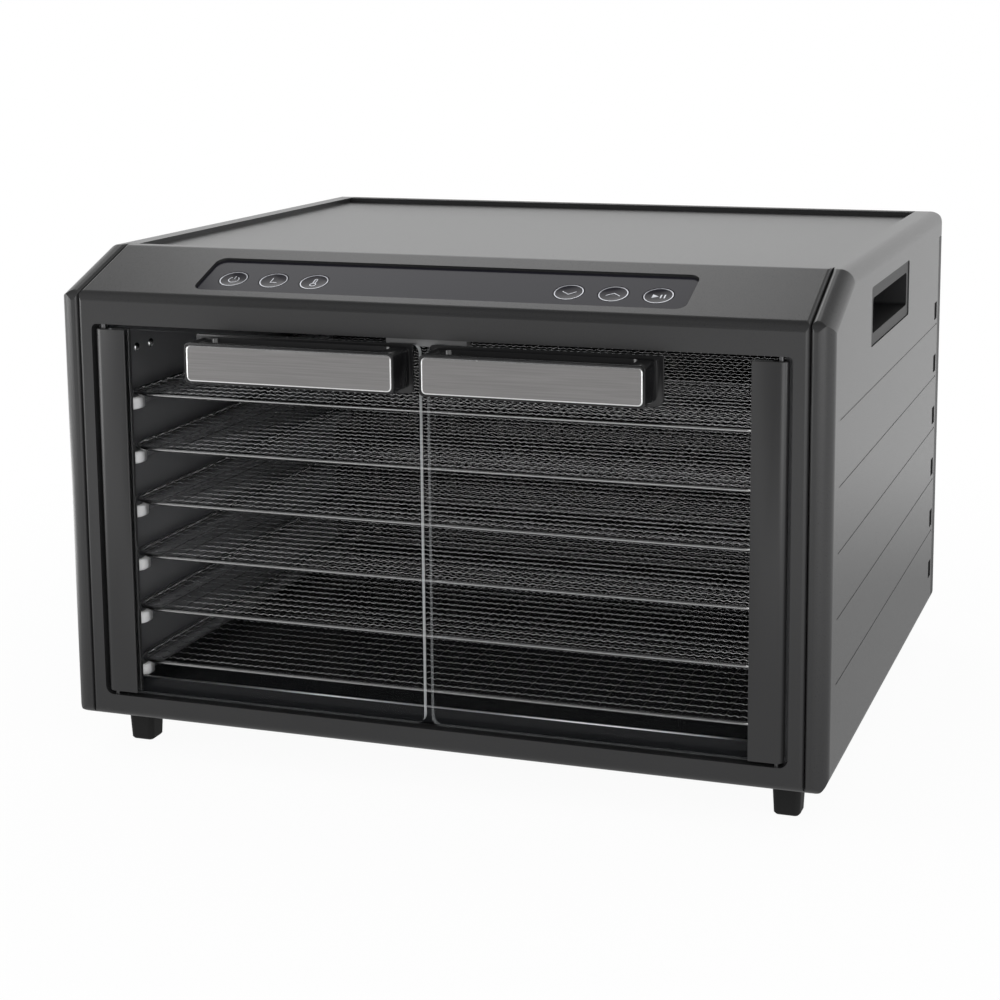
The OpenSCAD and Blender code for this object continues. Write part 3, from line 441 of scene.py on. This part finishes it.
def clear_sheet(name, edge_cover):
    """Thin clear sheet: mirrors by Fresnel, lets the rest through, and shows pale edges."""
    mat, tree, shader, place = new_material(name)
    haze = noise(tree, place.outputs["Object"], scale=14)
    split = add_node(tree, "ShaderNodeSeparateXYZ", {"Vector": place.outputs["Normal"]})
    face = calc(tree, "GREATER_THAN", calc(tree, "ABSOLUTE", split.outputs["Y"]), 0.5)
    upright = calc(tree, "ABSOLUTE", split.outputs["X"])
    edge = span(tree, upright, 0.12, edge_cover, from_min=0.3)
    sheen = add_node(tree, "ShaderNodeFresnel", {"IOR": 1.09}).outputs[0]
    feed(tree, shader, {
        "Base Color": (0.72, 0.74, 0.75, 1),
        "Roughness": span(tree, haze, 0.03, 0.07),
        "Metallic": face,
        "Alpha": mix_values(tree, face, edge, sheen),
    })
    return mat


# Both sheets are alike. The left one's edges show paler as a painted highlight, and the right one's
# duller as painted shade.
dress(clear_sheet("left_sheet_painted_lit_edges", edge_cover=0.75), "left_door_pane")
dress(clear_sheet("right_sheet_painted_shaded_edges", edge_cover=0.3), "right_door_pane")


def soften(node, body, material, ease):
    """Stands in for a CAD node with the same moulding, its sharp edges eased."""
    bm = bmesh.new()
    bm.from_mesh(nodes[node].data)
    bmesh.ops.remove_doubles(bm, verts=bm.verts[:], dist=1e-6)
    bmesh.ops.dissolve_limit(bm, angle_limit=math.radians(1), verts=bm.verts[:],
                             edges=bm.edges[:])
    made = piece(f"{node}_moulding", finished(f"{node}_moulding", bm), body, material)
    bevel = made.modifiers.new("eased edges", "BEVEL")
    bevel.width = ease
    bevel.segments = 2
    bevel.angle_limit = math.radians(35)
    bevel.harden_normals = True
    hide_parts(node)


STILE_EASE = 0.0006

stile_black = moulded_plastic("stile_black", (0.020, 0.020, 0.0205), rough=0.36, grain=2400,
                              depth=0.15, shade=0.05)
for side in ("left", "right"):
    soften(f"{side}_door_stile", f"{side}_door", stile_black, STILE_EASE)
catch_grey = moulded_plastic("catch_grey", (0.22, 0.22, 0.222), rough=0.4, grain=2400, depth=0.15)
pin_steel = plain_metal("pin_steel", (0.10, 0.10, 0.102), rough=0.3)
dress(catch_grey, "door_catch")
dress(pin_steel, "left_strike", "right_strike", "left_hinge_pins", "right_hinge_pins")

# ---------------------------------------------------------------- handles
# A hollow black moulding is screwed through the sheet from behind. A steel plate, brushed along
# its length, is let into its front, and the plate's shallow chamfer is polished bright.

HANDLE_EASE = 0.0007
PLATE_CORNER = 0.0024
CHAMFER_WIDTH = 0.0006
CHAMFER_FALL = 0.22  # as a share of its width

handle_black = moulded_plastic("handle_black", (0.006, 0.006, 0.0065), rough=0.2, grain=2400,
                               depth=0.08, shade=0.05, gloss=0.5)
for side in ("left", "right"):
    soften(f"{side}_handle", f"{side}_door", handle_black, HANDLE_EASE)
# The screws are coloured near black as painted shade, for the dark hollow of the handle they sit
# in.
handle_screw = plain_metal("handle_screw", (0.08, 0.08, 0.082), rough=0.4)
dress(handle_screw, "left_handle_screws", "right_handle_screws")


def steel_plate(name, low, high):
    """A flat plate with round corners and a shallow chamfer that has a finish of its own."""
    thick = high.y - low.y
    bm = bmesh.new()
    bmesh.ops.create_cube(bm, size=1)
    bmesh.ops.scale(bm, verts=bm.verts[:], vec=high - low)
    corners = [e for e in bm.edges if abs((e.verts[0].co - e.verts[1].co).y) > thick / 2]
    bmesh.ops.bevel(bm, geom=corners, offset=PLATE_CORNER, segments=6, affect="EDGES",
                    profile=0.5, material=-1)
    front = [f for f in bm.faces if f.normal.y < -0.9]
    rim = bmesh.ops.inset_region(bm, faces=front, thickness=CHAMFER_WIDTH)["faces"]
    for face in rim:
        face.material_index = 1
    inner = {v for f in front for v in f.verts}
    outer = {v for f in rim for v in f.verts} - inner
    bmesh.ops.translate(bm, verts=list(outer), vec=(0, CHAMFER_WIDTH * CHAMFER_FALL, 0))
    bmesh.ops.translate(bm, verts=bm.verts[:], vec=(low + high) / 2)
    return finished(name, bm, False)


brushed = plain_metal("brushed_steel", (0.25, 0.244, 0.242), rough=0.36, streak=0.08,
                      stretch=(0.02, 1, 1), fine=1600)
cut_edge = plain_metal("cut_edge", (0.92, 0.92, 0.92), rough=0.25, streak=0.02)
for side in ("left", "right"):
    low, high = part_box(f"{side}_handle_plate")
    mesh = steel_plate(f"{side}_plate", low, high)
    plate = piece(f"{side}_steel_plate", mesh, f"{side}_door", brushed, cut_edge)
    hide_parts(f"{side}_handle_plate")

# ---------------------------------------------------------------- controls
# A gloss overlay is let into the fascia, with six dished buttons in two groups of three. Each
# has a printed silver ring and a plain sign, and the boards lie under them.

overlay_gloss = moulded_plastic("overlay_gloss", (0.013, 0.0125, 0.018), rough=0.14, grain=900,
                                depth=0.0, shade=0.02, gloss=0.12)
button_gloss = moulded_plastic("button_gloss", (0.012, 0.011, 0.016), rough=0.14, grain=900,
                               depth=0.0, shade=0.02, gloss=0.12)
board_green = moulded_plastic("board_green", (0.02, 0.09, 0.04), rough=0.4, grain=600, depth=0.2)
dress(overlay_gloss, "control_overlay")
dress(button_gloss, "power_button", "timer_button", "heat_button", "down_button", "up_button",
      "start_button")
dress(board_green, "control_board", "power_board")

SLOPE = 21
SLOPE_FOOT = 0.2632
BUTTON_OUT = 0.120
BUTTON_PITCH = 0.024
BUTTON_UP = 0.0255
DISH_RADIUS = 0.060
DISH_LOW = -0.0021
RING_RADIUS = 0.0075
RING_STROKE = 0.00055
STROKE = 0.00045
TUBE_STROKE = 0.0005
PAUSE_STROKE = 0.0007
PRINT = 0.00010


def printed_bar(bm, x0, y0, x1, y1, width=STROKE):
    """A stroke of a sign, from one point to another, as a thin slab."""
    made = bmesh.ops.create_cube(bm, size=1)["verts"]
    run = math.hypot(x1 - x0, y1 - y0)
    bmesh.ops.scale(bm, verts=made, vec=(run + width, width, PRINT))
    middle = Matrix.Translation(((x0 + x1) / 2, (y0 + y1) / 2, 0))
    turn = Matrix.Rotation(math.atan2(y1 - y0, x1 - x0), 4, "Z")
    bmesh.ops.transform(bm, matrix=middle @ turn, verts=made)


def printed_arc(bm, radius, start, sweep, width=STROKE, y=0):
    """A stroke along a circle, spun from a small rectangle."""
    bar = bmesh.ops.create_grid(bm, x_segments=1, y_segments=1, size=0.5)["verts"]
    bmesh.ops.scale(bm, verts=bar, vec=(width, PRINT, 1))
    bmesh.ops.rotate(bm, verts=bar, matrix=Matrix.Rotation(math.pi / 2, 3, "X"))
    bmesh.ops.translate(bm, verts=bar, vec=(radius, 0, 0))
    bmesh.ops.rotate(bm, verts=bar, matrix=Matrix.Rotation(math.radians(start), 3, "Z"))
    bmesh.ops.translate(bm, verts=bar, vec=(0, y, 0))
    whole = sweep >= 360
    face = [f for f in bm.faces if f.verts[0] in set(bar)]
    geom = face + bar + [e for f in face for e in f.edges]
    bmesh.ops.spin(bm, geom=geom, cent=(0, y, 0), axis=(0, 0, 1), angle=math.radians(sweep),
                   steps=max(6, int(sweep / 6)), use_merge=whole)
    if whole:
        bmesh.ops.delete(bm, geom=[f for f in face if f.is_valid], context="FACES_ONLY")


def power_sign(bm):
    """An open ring with a bar in its gap."""
    printed_arc(bm, 0.0029, 125, 290)
    printed_bar(bm, 0, 0.0011, 0, 0.0035)


def timer_sign(bm):
    """A clock's two hands."""
    printed_bar(bm, -0.0014, 0.0030, -0.0014, -0.0016)
    printed_bar(bm, -0.0014, -0.0016, 0.0022, -0.0016)


def heat_sign(bm):
    """A thermometer: a bulb, the tube's two sides and its round end."""
    printed_arc(bm, 0.0016, 0, 360, y=-0.0021)
    for x in (-0.0007, 0.0007):
        printed_bar(bm, x, -0.0006, x, 0.0032, TUBE_STROKE)
    printed_arc(bm, 0.0007, 0, 180, TUBE_STROKE, y=0.0032)


def down_sign(bm):
    """An open arrowhead that points down."""
    printed_bar(bm, -0.0036, 0.0012, 0, -0.0015)
    printed_bar(bm, 0, -0.0015, 0.0036, 0.0012)


def up_sign(bm):
    """An open arrowhead that points up."""
    printed_bar(bm, -0.0036, -0.0012, 0, 0.0015)
    printed_bar(bm, 0, 0.0015, 0.0036, -0.0012)


def start_sign(bm):
    """A solid arrowhead beside two short bars."""
    tip = bmesh.ops.create_cone(bm, cap_ends=True, segments=3, radius1=0.0022, radius2=0.0022,
                                depth=PRINT)["verts"]
    bmesh.ops.rotate(bm, verts=tip, matrix=Matrix.Rotation(-math.pi / 2, 3, "Z"))
    bmesh.ops.translate(bm, verts=tip, vec=(-0.0022, 0, 0))
    for x in (0.0013, 0.0033):
        printed_bar(bm, x, -0.0015, x, 0.0015, PAUSE_STROKE)


printed_silver = plain_metal("printed_silver", (0.62, 0.63, 0.67), rough=0.35, streak=0.02)
fascia = Matrix.Translation((0, FRONT_Y, SLOPE_FOOT)) @ Matrix.Rotation(math.radians(SLOPE), 4, "X")
signs = {"power": power_sign, "timer": timer_sign, "heat": heat_sign, "down": down_sign,
         "up": up_sign, "start": start_sign}
for i, (name, draw) in enumerate(signs.items()):
    bm = bmesh.new()
    printed_arc(bm, RING_RADIUS, 0, 360, RING_STROKE)
    draw(bm)
    for v in bm.verts:
        v.co.z += DISH_LOW + PRINT / 2 + v.co.xy.length_squared / (2 * DISH_RADIUS)
    x = -BUTTON_OUT + BUTTON_PITCH * i if i < 3 else BUTTON_OUT - BUTTON_PITCH * (5 - i)
    bmesh.ops.transform(bm, matrix=fascia @ Matrix.Translation((x, BUTTON_UP, 0)),
                        verts=bm.verts[:])
    bmesh.ops.recalc_face_normals(bm, faces=bm.faces[:])
    piece(f"{name}_sign", finished(f"{name}_sign", bm, False), f"{name}_button", printed_silver)

# ---------------------------------------------------------------- feet and inlet
# Four tapered rubber feet stand under the base. The socket for the power cord is moulded in
# black plastic in the rear cover.

foot_rubber = moulded_plastic("foot_rubber", (0.006, 0.006, 0.006), rough=0.6, grain=1200,
                              depth=0.3, shade=0.1, gloss=0.25)
inlet_black = moulded_plastic("inlet_black", (0.010, 0.010, 0.010), rough=0.35, grain=1200,
                              depth=0.1)
dress(foot_rubber, "front_left_foot", "front_right_foot", "rear_left_foot", "rear_right_foot")
dress(inlet_black, "power_inlet")

# ---------------------------------------------------------------- studio
# A white floor that keeps the soft shadow, a white surround that darkens overhead and in front,
# and large soft lamps. The camera stands a metre off to the right, a little above the top.

FLOOR_HALF = 6
FLOOR_DROP = 0.0005

bm = bmesh.new()
bmesh.ops.create_grid(bm, x_segments=1, y_segments=1, size=FLOOR_HALF)
bmesh.ops.translate(bm, verts=bm.verts[:], vec=(0, 0, -FLOOR_DROP))
floor = bpy.data.objects.new("floor", finished("floor", bm, False))
bpy.context.scene.collection.objects.link(floor)
floor_white, tree, shader, place = new_material("floor_white")
tree.nodes.remove(shader)
floor.data.materials.append(floor_white)

# The floor glows white by itself, and only near the object does a little of it catch shadow.
# Mirrored in the object it is darker near by, with a bright patch off to the left.
dull = add_node(tree, "ShaderNodeBsdfDiffuse", {"Color": (0.9, 0.9, 0.9, 1)})
away = tree.nodes.new("ShaderNodeVectorMath")
away.operation = "LENGTH"
feed(tree, away, {0: place.outputs["Object"]})
patch = tree.nodes.new("ShaderNodeVectorMath")
patch.operation = "DISTANCE"
feed(tree, patch, {0: place.outputs["Object"], 1: (-0.80, 0.05, 0)})
near = span(tree, away.outputs["Value"], 0.50, 1.0, from_min=0.42, from_max=0.78)
bounce = span(tree, patch.outputs["Value"], 4.0, 1.0, from_min=0.15, from_max=0.45)
mirrored = tree.nodes.new("ShaderNodeLightPath").outputs["Is Glossy Ray"]
level = mix_values(tree, mirrored, 1.0, calc(tree, "MULTIPLY", near, bounce))
glow = add_node(tree, "ShaderNodeEmission", {"Strength": level})
fade = span(tree, away.outputs["Value"], 0.05, 0.0, from_min=0.25, from_max=0.75)
surface = add_node(tree, "ShaderNodeMixShader",
                   {"Fac": fade, 1: glow.outputs[0], 2: dull.outputs[0]})
feed(tree, tree.nodes["Material Output"], {"Surface": surface.outputs[0]})

# The surround is plain white to the camera, and dimmer as light. In mirrored and passed rays it
# darkens overhead and in front.
world = bpy.data.worlds.new("surround")
bpy.context.scene.world = world
world.use_nodes = True
tree = world.node_tree
path = tree.nodes.new("ShaderNodeLightPath")
way = tree.nodes.new("ShaderNodeTexCoord")
split = add_node(tree, "ShaderNodeSeparateXYZ", {"Vector": way.outputs["Generated"]})
overhead = span(tree, split.outputs["Z"], 1.0, 0.05, from_min=0.45, from_max=0.95)
front = span(tree, split.outputs["Y"], 0.12, 1.0, from_min=-0.85, from_max=-0.35)
shaped = calc(tree, "MAXIMUM", path.outputs["Is Glossy Ray"], path.outputs["Is Transmission Ray"])
level = mix_values(tree, shaped, 0.6, calc(tree, "MULTIPLY", overhead, front))
level = mix_values(tree, path.outputs["Is Camera Ray"], level, 1.0)
feed(tree, tree.nodes["Background"], {"Strength": level, "Color": (1, 1, 1, 1)})


def soft_lamp(name, place, aim_height, size, power):
    """A square soft box aimed at a point above the middle of the floor."""
    data = bpy.data.lights.new(name, "AREA")
    data.size = size
    data.energy = power
    lamp = bpy.data.objects.new(name, data)
    bpy.context.scene.collection.objects.link(lamp)
    lamp.location = place
    away = Vector(place) - Vector((0, 0, aim_height))
    lamp.rotation_euler = away.to_track_quat("Z", "Y").to_euler()


soft_lamp("back softbox", (-0.55, 1.05, 1.45), aim_height=0.2, size=0.9, power=3.0)
soft_lamp("left softbox", (-1.5, -0.75, 0.32), aim_height=0.15, size=1.0, power=11)
soft_lamp("front softbox", (0.95, -1.6, 0.6), aim_height=0.15, size=1.4, power=14)
soft_lamp("right softbox", (1.7, -0.5, 0.75), aim_height=0.15, size=0.5, power=5)

FOCAL_RATIO = 2.0888  # focal length over sensor width
SENSOR = 36
CAMERA_SHIFT = (-0.04, -0.15)
CAMERA_PLACE = (0.400618, -0.992855 + FRONT_Y, 0.416173)
CAMERA_TURN = 18.709
CAMERA_DOWN = 9.322
CAMERA_ROLL = -0.333

camera_data = bpy.data.cameras.new("camera")
camera_data.lens = FOCAL_RATIO * SENSOR
camera_data.shift_x, camera_data.shift_y = CAMERA_SHIFT
camera = bpy.data.objects.new("camera", camera_data)
bpy.context.scene.collection.objects.link(camera)
bpy.context.scene.camera = camera
camera.matrix_world = (
    Matrix.Translation(CAMERA_PLACE)
    @ Matrix.Rotation(math.radians(CAMERA_TURN), 4, "Z")
    @ Matrix.Rotation(math.radians(90 - CAMERA_DOWN), 4, "X")
    @ Matrix.Rotation(math.radians(CAMERA_ROLL), 4, "Z")
)
bpy.context.scene.view_settings.view_transform = "Standard"
